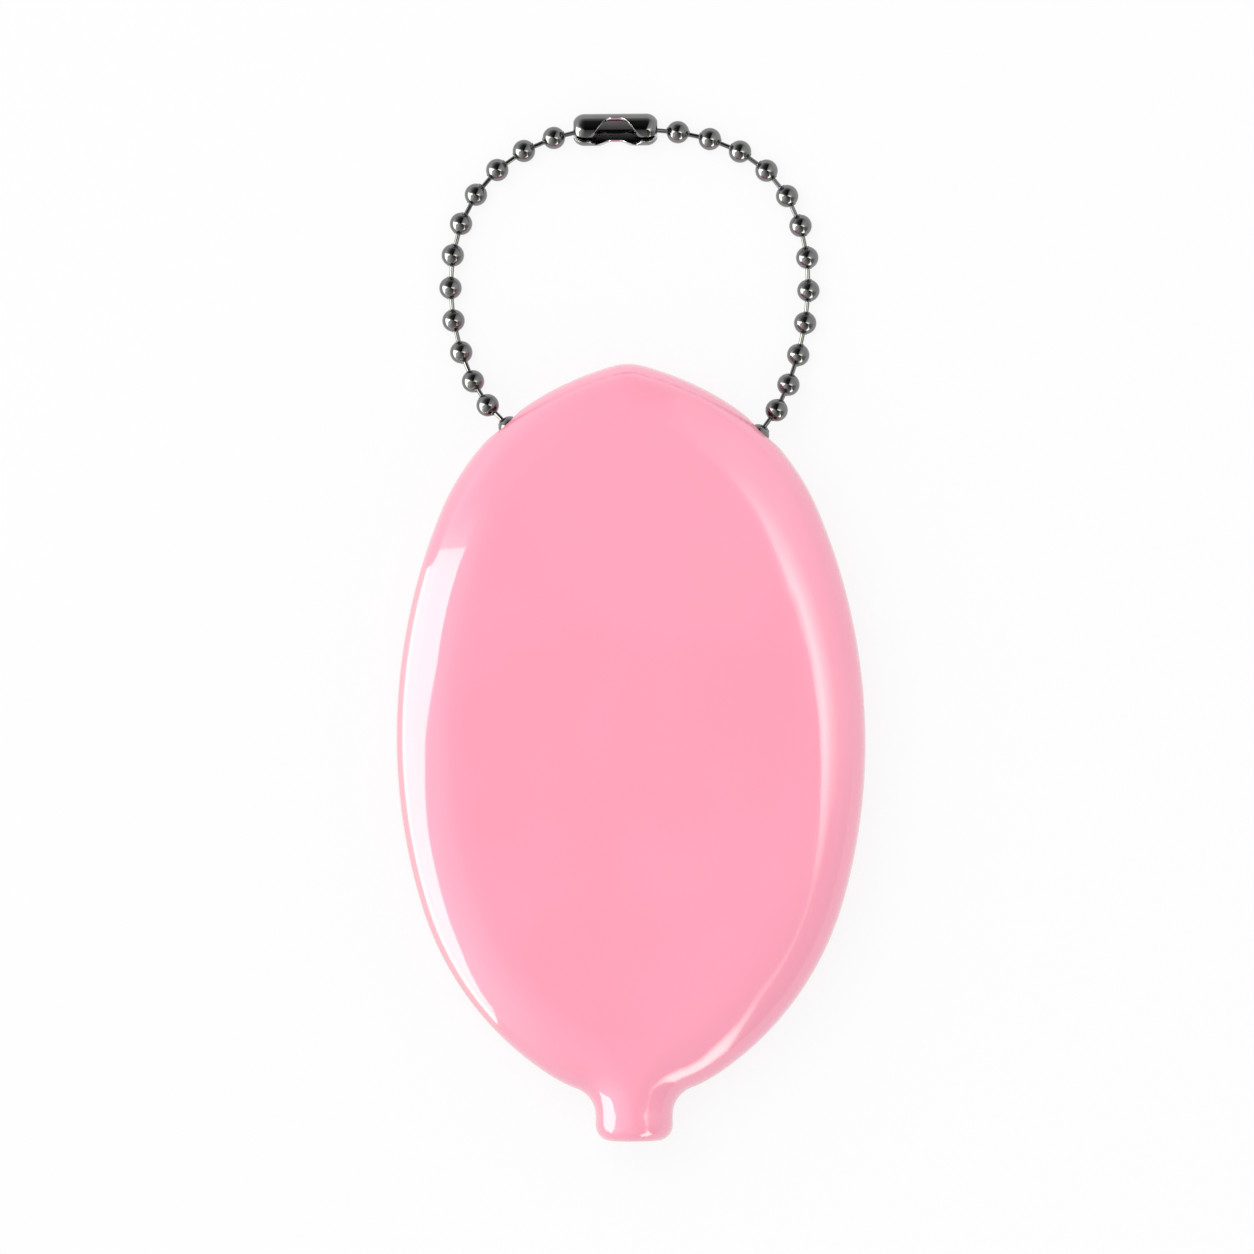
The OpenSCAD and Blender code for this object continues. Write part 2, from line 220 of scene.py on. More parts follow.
def lamp(name, place, size, power):
    """A soft square lamp that points at the purse and isn't itself seen or mirrored."""
    data = bpy.data.lights.new(name, "AREA")
    data.shape = "RECTANGLE"
    data.size = data.size_y = size
    data.energy = power
    seat = bpy.data.objects.new(name, data)
    seat.location = place
    seat.rotation_euler = (-Vector(place)).to_track_quat("-Z", "Y").to_euler()
    seat.visible_camera = False
    seat.visible_glossy = False
    bpy.context.collection.objects.link(seat)


def toward(zenith, azimuth, reach):
    """A point in a direction from the purse, in degrees from straight up and round from the right."""
    tilt, turn = math.radians(zenith), math.radians(azimuth)
    out = reach * math.sin(tilt)
    return out * math.cos(turn), out * math.sin(turn), reach * math.cos(tilt)


def card(name, reach, rows, tone=(1, 1, 1, 1)):
    """A bent card round the purse, over rows of (zenith, azimuth, glow)."""
    sheet(name, [[(*toward(zenith, azimuth, reach), glow) for zenith, azimuth, glow in row]
                 for row in rows], tone)


def sheet(name, rows, tone):
    """A glowing sheet that only reflections see, over rows of (x, y, z, glow) of the same length."""
    shine, tree, seen = blank_material(name)
    light = tree.nodes.new("ShaderNodeEmission")
    light.inputs["Color"].default_value = tone
    level = tree.nodes.new("ShaderNodeAttribute")
    level.attribute_name = "glow"
    tree.links.new(level.outputs["Fac"], light.inputs["Strength"])
    tree.links.new(light.outputs[0], seen)
    wide = len(rows[0])
    corners = [corner for row in rows for corner in row]
    faces = []
    for i in range(len(rows) - 1):
        for j in range(wide - 1):
            here, after = i * wide + j, (i + 1) * wide + j
            faces.append((here, here + 1, after + 1, after))
    mesh = new_mesh(name, [corner[:3] for corner in corners], faces)
    glow = mesh.attributes.new("glow", "FLOAT", "POINT")
    glow.data.foreach_set("value", [corner[3] for corner in corners])
    piece = new_piece(name, mesh, shine)
    piece.visible_camera = False
    piece.visible_diffuse = False
    piece.visible_shadow = False
    piece.visible_transmission = False


camera()
floor()
world()
OVERHEAD_PLACE, OVERHEAD_SIZE, OVERHEAD_POWER = (-0.3, 0.22, 0.75), 0.7, 2.8
lamp("overhead softbox", OVERHEAD_PLACE, OVERHEAD_SIZE, OVERHEAD_POWER)

# Zenith at which the cards stand on the table, and the tone of the two warm ones
FOOT = 90.5
WARM = (1, 1, 0.85, 1)

# The softbox on the left stands on the table: (azimuth, zenith of its inner edge). Its far end hangs
# clear of the table, and it fades a little towards its foot.
BOX_REACH = 0.8
BOX_GLOW = 6.7
BOX_FADE = 0.87
BOX_END_FOOT = 35
BOX_EDGE = ((158.1, 33.7), (160.1, 36.5), (165.4, 36.8), (171.7, 35.6), (175.7, 41), (179.8, 48.5),
            (184, 52), (188.2, 57.5), (191.3, 60.5), (194.4, 61.5), (198.9, 63.4), (205.2, 66.3),
            (209.3, 69.8), (213.7, 78), (218.2, 85), (222, 87))
box_feet = [BOX_END_FOOT] + [FOOT] * (len(BOX_EDGE) - 1)
card("left softbox", BOX_REACH,
     [[(inner, turn, BOX_GLOW), (foot, turn, BOX_GLOW * BOX_FADE)]
      for (turn, inner), foot in zip(BOX_EDGE, box_feet)], WARM)

# A bright sheet lies on the table before the softbox: (gap from the purse's edge, glow), at azimuths
SHEET_STEPS = ((0.003, 0.8), (0.011, 1.6), (0.014, 5.2), (0.1, 5.2), (0.8, 5.2))
SHEET_TURNS = range(161, 222, 4)
SHEET_LEVEL = 0.001
SHEET_OVAL_X, SHEET_OVAL_Y = 24.8 * MM, 38.5 * MM


def beside_purse(turn, gap):
    """A place on the table off the purse's edge, which is taken as an oval."""
    c, s = math.cos(math.radians(turn)), math.sin(math.radians(turn))
    size = math.hypot(SHEET_OVAL_X * c, SHEET_OVAL_Y * s)
    return (SHEET_OVAL_X ** 2 / size + gap) * c, (SHEET_OVAL_Y ** 2 / size + gap) * s


sheet("sheet by the softbox",
      [[(*beside_purse(turn, gap), SHEET_LEVEL, glow) for gap, glow in SHEET_STEPS]
       for turn in SHEET_TURNS], WARM)

# A long lamp bends over on the right: (azimuth, then zenith and glow of its sharp inner edge, its
# brightest line, its shoulder and its faint outer edge).
LAMP_REACH = 0.85
LAMP = ((52, 3.5, 0, 6, 0.8, 13, 0.7, 30, 0.6), (41, 3.5, 0.2, 6.5, 2.3, 15, 1.2, 32, 0.8),
        (30, 3.5, 0.3, 7.5, 3.3, 15, 1.9, 30, 1.0), (21.4, 4, 0.5, 11, 5.0, 21, 2.5, 38, 0.9),
        (17.9, 7, 1.0, 15, 5.0, 27, 2.5, 43, 0.9), (14.6, 9.5, 1.5, 18, 5.0, 30, 2.5, 47, 0.9),
        (9.2, 13.5, 2.5, 23, 5.0, 35, 2.5, 50, 0.9), (3.9, 16, 3, 26, 5.0, 37, 2.6, 52, 0.9),
        (-0.2, 18.5, 3, 27, 4.9, 38, 2.3, 54, 0.8), (-6.6, 23.3, 3, 29, 4.0, 40, 1.8, 55, 0.6),
        (-11.9, 29.8, 2, 35, 2.8, 42, 1.6, 47, 0.1), (-18.1, 37, 0.3, 41.6, 1.1, 44, 0.6, 48, 0),
        (-29, 40, 0.2, 44, 1.2, 47, 0.6, 50, 0), (-41.6, 38, 0.3, 45.2, 1.7, 50, 0.9, 54, 0),
        (-48.7, 50, 1.0, 58, 3.8, 63, 3.4, 67, 0), (-54, 54.6, 1.5, 64, 5.4, 77, 5.4, 88, 2),
        (-60, 62, 1.5, 72, 5.6, 82, 5.4, 89, 3), (-68, 64, 1.5, 74, 5.4, 84, 5.2, 89, 3),
        (-78, 68, 1.0, 77, 4.5, 84, 4.5, 89, 3))
card("right lamp", LAMP_REACH,
     [[(zenith, turn, glow) for zenith, glow in zip(edges[::2], edges[1::2])]
      for turn, *edges in LAMP], WARM)

# Dark felt hangs round the lens and fades into a white tent: (azimuth, zenith and glow where the felt
# ends, the same where the tent is full, and the tent's glow at the table).
TENT_REACH = 1.3
FELT_GLOW = 0.05
TENT = ((-30, 45, 0.2, 75, 0.4, 0.5), (-12, 40, 0.25, 70, 0.5, 0.6), (0, 14, 0, 55, 0.9, 0.9),
        (20, 5, 0.1, 30, 1.0, 0.8), (40, 5, 0.3, 15, 0.8, 0.8), (57, 4, 0.3, 15, 0.5, 0.6),
        (66, 5, 0, 65, 0.05, 0.6), (90, 5, 0, 65, 0.05, 0.5), (108, 5, 0, 60, 0.1, 0.6),
        (120, 4, 0, 50, 0.1, 0.7), (134, 4, 0, 55, 0.15, 1.0), (148, 4, 0.1, 55, 0.45, 1.5),
        (160, 4, 0.4, 35, 1.0, 1.7), (180, 4, 0.4, 25, 1.0, 1.5), (195, 5, 0.35, 55, 1.5, 1.7),
        (215, 5, 0.35, 55, 1.6, 1.7), (235, 5, 0.3, 40, 0.7, 1.0), (265, 5, 0.2, 40, 0.4, 0.6),
        (300, 5, 0.1, 40, 0.2, 0.4), (318, 10, 0.05, 70, 0.35, 0.5), (330, 45, 0.2, 75, 0.4, 0.5))
card("tent", TENT_REACH,
     [[(0, turn, FELT_GLOW), (near, turn, dim), (far, turn, full), (FOOT, turn, foot)]
      for turn, near, dim, far, full, foot in TENT])

# ---------------------------------------------------------------- pouch
# The purse's body is one hollow moulding of soft glossy vinyl, with a stub at its lower end. Its
# section bulges round the rim, and its flat back is slit.
HALF_WIDTH = 24.8 * MM
TOP_REACH = 39.8 * MM
BOTTOM_REACH = 38.0 * MM
HALF_THICK = 4.8 * MM
WALL = 1.6 * MM
TOP_TURNS, TOP_RADII = (22.5, 59, 75), (32 * MM, 5.6 * MM)
LOW_TURNS, LOW_RADII = (16.5, 56), (16.4 * MM,)
# The rim's rounding reaches in by this much, and by less towards the tip, over these outline turns
RIM_DEPTH = 6.0 * MM
TIP_DEPTH = 5.2 * MM
TIP_START, TIP_SPREAD = 50, 25
STUB_R = 4.1 * MM
STUB_REACH = 4.4 * MM
STUB_CORNER = 1.7 * MM
NECK_R = 3.0 * MM
NECK_BITE = 0.02 * MM
SLIT_REACH = 29.0 * MM
SLIT_GAP = 0.3 * MM
BEND_WIDTH = 17.0 * MM
# How finely the rows and columns of the skin lie
ROW_LENGTH = 0.75 * MM
LEAST_ROWS = 3
NECK_ROWS = 14
NECK_CLEAR = 0.01
CORNER_ROWS = 8
END_ROWS = 3
FRONT_COLUMNS = 13
RIM_COLUMNS = 26
BACK_COLUMNS = 9
SKIN_MERGE = 1e-7
SKIN_SHARP = 40


def half_outline(reach, turns, given):
    """Arcs (centre, radius, first turn, last turn) of a half outline, from side to middle line."""
    turn = [math.radians(t) for t in turns]
    last = len(given) - 1
    tail = [sum((given[i] - given[i + 1]) * f(turn[i + 2]) for i in range(last))
            for f in (math.cos, math.sin)]
    # The first two radii are what brings the arcs to the given width and reach
    a, b = math.cos(turn[0]) - 1, math.cos(turn[1]) - math.cos(turn[0])
    c, d = math.sin(turn[0]), math.sin(turn[1]) - math.sin(turn[0])
    x = given[0] * math.cos(turn[1]) - HALF_WIDTH - tail[0]
    y = reach - given[last] + given[0] * math.sin(turn[1]) - tail[1]
    det = a * d - b * c
    radii = [(x * d - b * y) / det, (a * y - c * x) / det, *given]
    centre = Vector((HALF_WIDTH - radii[0], 0))
    arcs = []
    ends = [0, *turn, math.pi / 2]
    for k, radius in enumerate(radii):
        if k:
            step = radii[k - 1] - radius
            centre = centre + step * Vector((math.cos(ends[k]), math.sin(ends[k])))
        arcs.append((centre.copy(), radius, ends[k], ends[k + 1]))
    return arcs


def smooth(t):
    t = min(max(t, 0), 1)
    return t * t * (3 - 2 * t)


def rim_depth(turn):
    share = smooth((math.degrees(turn) - TIP_START) / TIP_SPREAD)
    return RIM_DEPTH + (TIP_DEPTH - RIM_DEPTH) * share


top_arcs = half_outline(TOP_REACH, TOP_TURNS, TOP_RADII)
low_arcs = half_outline(BOTTOM_REACH, LOW_TURNS, LOW_RADII)

# One row for each place round the right half: point on the edge, its outward direction, and how far
# the rim's rounding reaches in and up there.
oval_rows = []
for centre, radius, start, stop in reversed(top_arcs):
    steps = max(math.ceil(radius * (stop - start) / ROW_LENGTH), LEAST_ROWS)
    for i in range(steps):
        turn = stop + (start - stop) * i / steps
        way = Vector((math.cos(turn), math.sin(turn)))
        oval_rows.append((centre + radius * way, way, rim_depth(turn), HALF_THICK))
for centre, radius, start, stop in low_arcs:
    steps = max(math.ceil(radius * (stop - start) / ROW_LENGTH), LEAST_ROWS)
    is_last = stop == low_arcs[-1][3]
    for i in range(steps + is_last):
        turn = start + (stop - start) * i / steps
        way = Vector((math.cos(turn), -math.sin(turn)))
        at = Vector((centre.x, -centre.y)) + radius * way
        oval_rows.append((at, way, RIM_DEPTH, HALF_THICK))

# Outside, the oval runs over the neck into the stub
low_centre = BOTTOM_REACH - LOW_RADII[0]
neck_x = STUB_R + NECK_R
neck_fall = math.sqrt((LOW_RADII[0] + NECK_R - NECK_BITE) ** 2 - neck_x ** 2)
neck = Vector((neck_x, -low_centre - neck_fall))
neck_turn = math.atan2(-neck.y - low_centre, neck.x)
outer_rows = [row for row in oval_rows if row[1].y > -math.sin(neck_turn) + NECK_CLEAR]
for i in range(NECK_ROWS + 1):
    share = i / NECK_ROWS
    angle = math.pi - neck_turn * (1 - share)
    arm = Vector((math.cos(angle), math.sin(angle)))
    at = neck + NECK_R * arm
    # The rounding never reaches past the middle line
    depth = min(RIM_DEPTH + (STUB_R - RIM_DEPTH) * share, at.x / -arm.x)
    outer_rows.append((at, -arm, depth, HALF_THICK + (STUB_R - HALF_THICK) * smooth(share)))
stub_end = -(BOTTOM_REACH + STUB_REACH)
for i in range(CORNER_ROWS + 1):
    angle = -math.pi / 2 * i / CORNER_ROWS
    x = STUB_R - STUB_CORNER + STUB_CORNER * math.cos(angle)
    y = stub_end + STUB_CORNER + STUB_CORNER * math.sin(angle)
    outer_rows.append((Vector((x, y)), Vector((1, 0)), x, x))
for i in range(1, END_ROWS + 1):
    x = (STUB_R - STUB_CORNER) * (1 - i / END_ROWS)
    outer_rows.append((Vector((x, stub_end)), Vector((1, 0)), x, x))

# The back bends along the slit: its bending part is widest at the middle and ends at the slit's ends.
# It is broken into strips, at distances from the slit's middle with the share of the width left there.
HALF_STRIPS = 10
BEND_FALL = 2.15
bend_breaks = [(SLIT_REACH * i / HALF_STRIPS, 1 - (i / HALF_STRIPS) ** BEND_FALL)
               for i in range(1, HALF_STRIPS + 1)]


def inner_y(row):
    return (row[0] - row[1] * row[2]).y


def nearest_row(y):
    return min(range(len(outer_rows)), key=lambda i: abs(inner_y(outer_rows[i]) - y))


breaks = sorted((nearest_row(side * y), share) for side in (-1, 1) for y, share in bend_breaks)


def bend_share(y):
    """Share of the widest bending part that is left at a distance along the slit."""
    places = sorted((inner_y(outer_rows[i]), share) for i, share in breaks)
    if not places[0][0] < y < places[-1][0]:
        return 0
    for (y0, share0), (y1, share1) in zip(places, places[1:]):
        if y <= y1:
            return share0 + (share1 - share0) * (y - y0) / (y1 - y0)


def pouch_row(row, inset):
    """Right half of one row, from the front's middle round the rim to the bending part's edge."""
    at, way, depth, high = row
    depth, high = depth - inset, high - inset
    start = at - way * inset
    inner = start - way * depth
    ring = [Vector((inner.x * i / FRONT_COLUMNS, inner.y, HALF_THICK + high))
            for i in range(FRONT_COLUMNS)]
    for i in range(RIM_COLUMNS + 1):
        turn = math.pi * i / RIM_COLUMNS
        place = start - way * depth * (1 - math.sin(turn))
        ring.append(Vector((place.x, place.y, HALF_THICK + high * math.cos(turn))))
    edge = BEND_WIDTH * bend_share(inner.y)
    for i in range(1, BACK_COLUMNS + 1):
        x = inner.x + (edge - inner.x) * i / BACK_COLUMNS
        ring.append(Vector((x, inner.y, HALF_THICK - high)))
    return ring


def skin(rows, inset, flip):
    """Points and faces of both halves of the skin, at a depth inside the outline."""
    rings = [pouch_row(row, inset) for row in rows]
    points, faces = [], []
    wide = len(rings[0])
    for side in (1, -1):
        base = len(points)
        points += [Vector((side * p.x, p.y, p.z)) for ring in rings for p in ring]
        for i in range(len(rings) - 1):
            for j in range(wide - 1):
                here, after = base + i * wide + j, base + (i + 1) * wide + j
                quad = [here, after, after + 1, here + 1]
                faces.append(quad if (side == 1) != flip else quad[::-1])
    return points, faces


def solid(name, points, faces, material):
    """A piece whose faces are joined up to one closed mesh, smooth but for its sharp edges."""
    mesh = new_mesh(name, points, faces)
    work = bmesh.new()
    work.from_mesh(mesh)
    bmesh.ops.remove_doubles(work, verts=work.verts, dist=SKIN_MERGE)
    bmesh.ops.dissolve_degenerate(work, edges=work.edges, dist=SKIN_MERGE)
    bmesh.ops.recalc_face_normals(work, faces=work.faces)
    work.to_mesh(mesh)
    work.free()
    mesh.shade_smooth()
    mesh.set_sharp_from_angle(angle=math.radians(SKIN_SHARP))
    piece = new_piece(name, mesh, material)
    return piece


def vinyl():
    """Glossy pink vinyl, faintly clouded and faintly uneven."""
    soft = bpy.data.materials.new("pink vinyl")
    soft.use_nodes = True
    tree = soft.node_tree
    shader = tree.nodes["Principled BSDF"]
    shader.inputs["IOR"].default_value = 1.5
    shader.inputs["Roughness"].default_value = 0.14
    shader.inputs["Coat Weight"].default_value = 1.0
    shader.inputs["Coat Roughness"].default_value = 0.02
    tint(tree, noise(tree, 45, 2),
         (0.35, (0.975, 0.356, 0.483, 1)), (0.65, (0.99, 0.374, 0.501, 1)))
    bump = tree.nodes.new("ShaderNodeBump")
    bump.inputs["Strength"].default_value = 0.5
    bump.inputs["Distance"].default_value = 0.05 * MM
    tree.links.new(noise(tree, 110, 1), bump.inputs["Height"])
    tree.links.new(bump.outputs["Normal"], shader.inputs["Normal"])
    tree.links.new(bump.outputs["Normal"], shader.inputs["Coat Normal"])
    return soft


pink = vinyl()
points, faces = skin(outer_rows, 0, False)
inside_points, inside_faces = skin(oval_rows, WALL, True)
faces += [[i + len(points) for i in face] for face in inside_faces]
points += inside_points
# The wall's edge round the bending part
for side in (1, -1):
    for pair in zip(outer_rows, outer_rows[1:]):
        (x0, y0), (x1, y1) = [(side * BEND_WIDTH * bend_share(inner_y(row)), inner_y(row))
                              for row in pair]
        if x0 or x1:
            base = len(points)
            points += [Vector((x0, y0, 0)), Vector((x1, y1, 0)),
                       Vector((x1, y1, WALL)), Vector((x0, y0, WALL))]
            faces.append([base, base + 1, base + 2, base + 3])
body = solid("pouch", points, faces, pink)

# The chain's two slits: the bead that sits in each one spreads it to the shape of an eye
SLIT_HALF_L = 2.8 * MM
SLIT_HALF_H = 1.45 * MM
SLIT_IN, SLIT_OUT = 3.2 * MM, 1.5 * MM
EYE_STEPS = 12


def middle(node):
    low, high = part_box(node)
    return (low + high) / 2


def eye_cutter(bead, side):
    """A prism in the shape of an eye, which reaches through the wall at the bead."""
    flat = Vector((side * bead.x, bead.y))
    row = min(oval_rows, key=lambda row: (row[0] - flat).length)
    way = Vector((side * row[1].x, row[1].y, 0))
    along = Vector((-way.y, way.x, 0))
    seat = Vector((side * row[0].x, row[0].y, HALF_THICK))
    shares = [-1 + 2 * i / EYE_STEPS for i in range(EYE_STEPS + 1)]
    rim = [(t, 1 - t * t) for t in shares] + [(t, t * t - 1) for t in reversed(shares[1:-1])]
    points = [seat + along * SLIT_HALF_L * t + Vector((0, 0, SLIT_HALF_H * h)) + way * reach
              for reach in (-SLIT_IN, SLIT_OUT) for t, h in rim]
    count = len(rim)
    faces = [[i, (i + 1) % count, count + (i + 1) % count, count + i] for i in range(count)]
    faces += [list(range(count)), list(range(2 * count - 1, count - 1, -1))]
    return solid("slit cutter", points, faces, pink)


cutters = [eye_cutter(middle("left_slit_bead"), -1), eye_cutter(middle("right_slit_bead"), 1)]
for cutter in cutters:
    cut = body.modifiers.new("slit", "BOOLEAN")
    cut.object = cutter
    cut.solver = "EXACT"
settle(body, SKIN_SHARP)
body.data.name = "pouch"
for cutter in cutters:
    bpy.data.objects.remove(cutter)
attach(body, "shell")
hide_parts("pouch_shell", "left_lip", "right_lip")

# ---------------------------------------------------------------- lips
# The two soft lips of the slit. Each is made of strips that lie edge to edge, and each strip reaches
# from the body's still part, on its outer edge, to the lip's free edge at the slit.
LIP_COLUMNS = 12
# The gap between the lips closes where they are narrower than this
GAP_FADE = 1 * MM


def lip_strip(name, side, first, last):
    rows = []
    for row in outer_rows[first:last + 1]:
        y = inner_y(row)
        edge = BEND_WIDTH * bend_share(y)
        gap = SLIT_GAP / 2 * min(1, edge / GAP_FADE)
        rows.append([(side * (edge + (gap - edge) * j / LIP_COLUMNS), y)
                     for j in range(LIP_COLUMNS + 1)])
    wide = LIP_COLUMNS + 1
    points = [Vector((x, y, z)) for z in (0, WALL) for row in rows for x, y in row]
    count = len(rows) * wide
    faces = []
    for i in range(len(rows) - 1):
        here, after = i * wide, (i + 1) * wide
        for j in range(LIP_COLUMNS):
            quad = [here + j, after + j, after + j + 1, here + j + 1]
            faces.append(quad)
            faces.append([count + k for k in quad[::-1]])
        for j in (0, LIP_COLUMNS):
            faces.append([here + j, after + j, count + after + j, count + here + j])
    for i in (0, len(rows) - 1):
        for j in range(LIP_COLUMNS):
            a = i * wide + j
            faces.append([a, a + 1, count + a + 1, count + a])
    piece = solid(name, points, faces, pink)
    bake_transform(piece)


for strip, ((first, _), (last, _)) in enumerate(zip(breaks, breaks[1:]), 1):
    lip_strip(f"left_lip_skin_{strip}", -1, first, last)
    lip_strip(f"right_lip_skin_{strip}", 1, first, last)

# ---------------------------------------------------------------- ball chain
# Rolled steel balls of 2.4 mm, joined by pins with a ball end inside each bead, all plated black
# nickel. Each moving part of the chain is one bead and the pin that leads to it.
BEAD_D = 2.4 * MM
PIN_D = 0.48 * MM
HOLE_D = 0.64 * MM
# Thickness of a hole's rolled rim, as a share of the hole's width
ROLL_SHARE = 0.09
BALL_SEGMENTS, BALL_RINGS = 48, 32
HOLE_STEPS, ROLL_STEPS, PIN_STEPS = 24, 10, 20
BEAD_SHARP = 50


def nickel(name, dark_tint, light_tint):
    """Polished metal, faintly clouded in tint and in gloss."""
    plating = bpy.data.materials.new(name)
    plating.use_nodes = True
    tree = plating.node_tree
    shader = tree.nodes["Principled BSDF"]
    shader.inputs["Metallic"].default_value = 1.0
    cloud = noise(tree, 900, 3)
    tint(tree, cloud, (0, dark_tint), (1, light_tint))
    rough = tree.nodes.new("ShaderNodeMapRange")
    rough.inputs["To Min"].default_value = 0.04
    rough.inputs["To Max"].default_value = 0.09
    tree.links.new(cloud, rough.inputs["Value"])
    tree.links.new(rough.outputs["Result"], shader.inputs["Roughness"])
    return plating


metal = nickel("black nickel", (0.17, 0.17, 0.175, 1), (0.25, 0.25, 0.255, 1))


def chain_tree():
    """Geometry Nodes: a pin between two points, and a ball with two rolled hole rims at the second."""
    tree = bpy.data.node_groups.new("bead and pin", "GeometryNodeTree")
    sockets = tree.interface
    sockets.new_socket("Geometry", in_out="OUTPUT", socket_type="NodeSocketGeometry")
    for name in ("From", "To", "Along"):
        sockets.new_socket(name, in_out="INPUT", socket_type="NodeSocketVector")
    for name in ("Bead Diameter", "Pin Diameter", "Hole Diameter"):
        sockets.new_socket(name, in_out="INPUT", socket_type="NodeSocketFloat")
    sockets.new_socket("Finish", in_out="INPUT", socket_type="NodeSocketMaterial")
    nodes, links = tree.nodes, tree.links
    given = nodes.new("NodeGroupInput").outputs

    def ring(steps, radius):
        """The output socket of a round curve."""
        circle = nodes.new("GeometryNodeCurvePrimitiveCircle")
        circle.inputs["Resolution"].default_value = steps
        links.new(radius, circle.inputs["Radius"])
        return circle.outputs["Curve"]

    def swept(path, section):
        """The node that sweeps a section along a path."""
        node = nodes.new("GeometryNodeCurveToMesh")
        links.new(path, node.inputs["Curve"])
        links.new(section, node.inputs["Profile Curve"])
        return node

    bead_r = maths(tree, "MULTIPLY", given["Bead Diameter"], 0.5)
    pin_r = maths(tree, "MULTIPLY", given["Pin Diameter"], 0.5)
    hole_r = maths(tree, "MULTIPLY", given["Hole Diameter"], 0.5)
    roll_r = maths(tree, "MULTIPLY", given["Hole Diameter"], ROLL_SHARE)

    ball = nodes.new("GeometryNodeMeshUVSphere")
    ball.inputs["Segments"].default_value = BALL_SEGMENTS
    ball.inputs["Rings"].default_value = BALL_RINGS
    links.new(bead_r, ball.inputs["Radius"])
    bead = nodes.new("GeometryNodeJoinGeometry")
    links.new(ball.outputs["Mesh"], bead.inputs[0])
    rim = swept(ring(HOLE_STEPS, hole_r), ring(ROLL_STEPS, roll_r))
    squares = [maths(tree, "MULTIPLY", radius, radius) for radius in (bead_r, hole_r)]
    reach = maths(tree, "SQRT", maths(tree, "SUBTRACT", *squares))
    for way in (1, -1):
        place = nodes.new("ShaderNodeCombineXYZ")
        links.new(maths(tree, "MULTIPLY", reach, way), place.inputs["Z"])
        move = nodes.new("GeometryNodeTransform")
        links.new(rim.outputs["Mesh"], move.inputs["Geometry"])
        links.new(place.outputs[0], move.inputs["Translation"])
        links.new(move.outputs[0], bead.inputs[0])
    turn = nodes.new("FunctionNodeAlignRotationToVector")
    links.new(given["Along"], turn.inputs["Vector"])
    seat = nodes.new("GeometryNodeTransform")
    links.new(bead.outputs[0], seat.inputs["Geometry"])
    links.new(given["To"], seat.inputs["Translation"])
    links.new(turn.outputs[0], seat.inputs["Rotation"])

    line = nodes.new("GeometryNodeCurvePrimitiveLine")
    links.new(given["From"], line.inputs["Start"])
    links.new(given["To"], line.inputs["End"])
    pin = swept(line.outputs["Curve"], ring(PIN_STEPS, pin_r))
    pin.inputs["Fill Caps"].default_value = True

    whole = nodes.new("GeometryNodeJoinGeometry")
    real = nodes.new("GeometryNodeRealizeInstances")
    even = nodes.new("GeometryNodeSetShadeSmooth")
    finish = nodes.new("GeometryNodeSetMaterial")
    links.new(seat.outputs[0], whole.inputs[0])
    links.new(pin.outputs[0], whole.inputs[0])
    links.new(whole.outputs[0], real.inputs[0])
    links.new(real.outputs[0], even.inputs[0])
    links.new(even.outputs[0], finish.inputs["Geometry"])
    links.new(given["Finish"], finish.inputs["Material"])
    links.new(finish.outputs[0], nodes.new("NodeGroupOutput").inputs[0])
    return tree


bead_and_pin = chain_tree()


def chain_part(name, start, at, along, part, *stands_for):
    """A pin from start to at, and a bead at its end with its holes along a direction."""
    seed = new_piece(name + "_seed", bpy.data.meshes.new(name + "_seed"))
    maker = seed.modifiers.new("make", "NODES")
    maker.node_group = bead_and_pin
    values = {"From": start, "To": at, "Along": along, "Bead Diameter": BEAD_D,
              "Pin Diameter": PIN_D, "Hole Diameter": HOLE_D, "Finish": metal}
    for item in bead_and_pin.interface.items_tree:
        if item.in_out == "INPUT":
            maker[item.identifier] = values[item.name]
    mesh = made_mesh(seed)
    bpy.data.objects.remove(seed)
    mesh.name = name
    mesh.set_sharp_from_angle(angle=math.radians(BEAD_SHARP))
    piece = new_piece(name, mesh)
    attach(piece, part)
    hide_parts(*stands_for)


for side, across in (("left", "right"), ("right", "left")):
    count = sum(name.startswith(f"{side}_link_") for name in frame["nodes"])
    names = [f"{side}_slit_bead", *(f"{side}_bead_{k}" for k in range(1, count)), f"{side}_end_bead"]
    centres = [middle(name) for name in names]
    for k in range(1, count + 1):
        after = centres[k + 1] if k < count else 2 * centres[k] - centres[k - 1]
        chain_part(f"{side}_chain_{k}", centres[k - 1], centres[k], after - centres[k - 1],
                   f"{side}_part_{k}", f"{side}_link_{k}", names[k])
    # The bead in the slit leads on to the run inside the purse
    inward = (middle(f"{across}_slit_bead") - centres[0]).normalized() * BEAD_D
    chain_part(f"{side}_slit_chain", centres[0] + inward, centres[0],
               centres[1] - centres[0] - inward, "chain_run", names[0])
for name in ("hidden_beads", "hidden_links"):
    for place in frame["nodes"][name].material_slots:
        place.material = metal

# ---------------------------------------------------------------- connector
# The snap connector: one piece of thin sheet rolled into a tube with drawn-in ends. Its mouth lets a
# bead in, and the slot on both sides of the mouth lets the pin pass to the hole in each end. The mouth
# is turned from straight up towards the purse.
CONNECTOR_L = 9.1 * MM
CONNECTOR_R = 1.7 * MM
CONNECTOR_SHEET = 0.3 * MM
CONNECTOR_CORNER = 1.25 * MM
END_HOLE_R = 0.85 * MM
MOUTH_FLAT = 0.8 * MM
MOUTH_L = 6.2 * MM
MOUTH_TURN = 41
SLOT_W = 0.66 * MM
EDGE_SOFT, EDGE_STEPS, EDGE_OVER = 0.13 * MM, 4, 50
LENGTH_STEPS, CORNER_STEPS, AROUND = 40, 12, 72
CONNECTOR_SHARP = 45


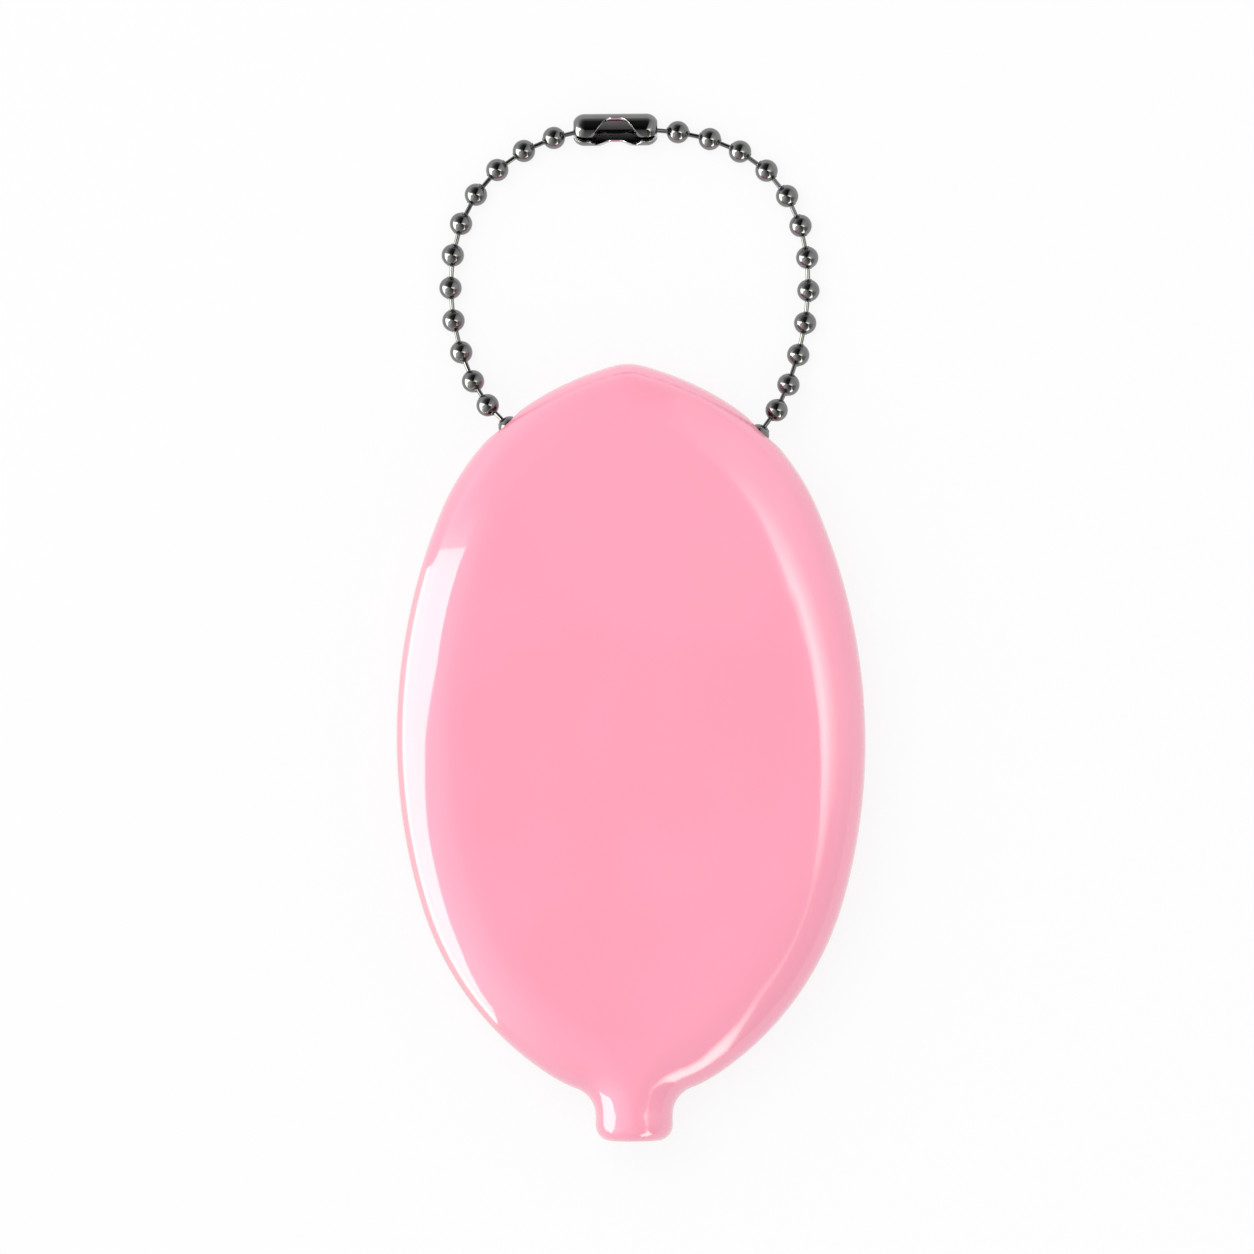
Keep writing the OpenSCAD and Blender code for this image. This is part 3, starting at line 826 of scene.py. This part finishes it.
def profile():
    """Half of the tube's length as (x, radius), from its middle to the edge of the end hole."""
    flat, level = CONNECTOR_L / 2 - CONNECTOR_CORNER, CONNECTOR_R - CONNECTOR_CORNER
    line = [(flat * i / LENGTH_STEPS, CONNECTOR_R) for i in range(LENGTH_STEPS)]
    for i in range(CORNER_STEPS + 1):
        turn = math.pi / 2 * i / CORNER_STEPS
        line.append((flat + CONNECTOR_CORNER * math.sin(turn),
                     level + CONNECTOR_CORNER * math.cos(turn)))
    return [(x, radius) for x, radius in line if radius >= END_HOLE_R]


def mouth_half_angle(x, radius):
    """Half of the opening's angle round the tube, at a distance from its middle."""
    slot = math.asin(min(SLOT_W / 2 / radius, 1))
    share = (abs(x) - MOUTH_FLAT / 2) / (MOUTH_L / 2 - MOUTH_FLAT / 2)
    share = min(max(share, 0), 1)
    return math.pi / 2 + (slot - math.pi / 2) * (1 - math.cos(math.pi * share)) / 2


half_line = profile()
stations = [(-x, radius) for x, radius in reversed(half_line[1:])] + half_line
low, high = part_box("chain_connector")
centre = Vector(((low.x + high.x) / 2, (low.y + high.y) / 2, CONNECTOR_R))
lean = math.radians(MOUTH_TURN)
points, faces = [], []
for x, radius in stations:
    gap = mouth_half_angle(x, radius)
    for j in range(AROUND + 1):
        # Angles count from the middle of the mouth
        angle = gap + (2 * math.pi - 2 * gap) * j / AROUND
        up, side_way = math.cos(angle), math.sin(angle)
        y = side_way * math.cos(lean) - up * math.sin(lean)
        z = side_way * math.sin(lean) + up * math.cos(lean)
        points.append(centre + Vector((x, radius * y, radius * z)))
wide = AROUND + 1
for i in range(len(stations) - 1):
    for j in range(AROUND):
        here, after = i * wide + j, (i + 1) * wide + j
        faces.append([here, after, after + 1, here + 1])
# The cut edge is painted lighter than the plating: a painted highlight along the sheet's rounded edge
edge_highlight = nickel("painted edge highlight", (0.6, 0.6, 0.61, 1), (0.75, 0.75, 0.76, 1))
connector = new_piece("snap_connector", new_mesh("snap_connector", points, faces), metal, edge_highlight)
wall = connector.modifiers.new("sheet", "SOLIDIFY")
wall.thickness = CONNECTOR_SHEET
wall.offset = -1
wall.use_even_offset = True
# The sheet's cut rim takes the lighter metal, a painted highlight
wall.material_offset_rim = 1
soften = connector.modifiers.new("edges", "BEVEL")
soften.width = EDGE_SOFT
soften.segments = EDGE_STEPS
soften.limit_method = "ANGLE"
soften.angle_limit = math.radians(EDGE_OVER)
settle(connector, CONNECTOR_SHARP)
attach(connector, "connector")
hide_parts("chain_connector")
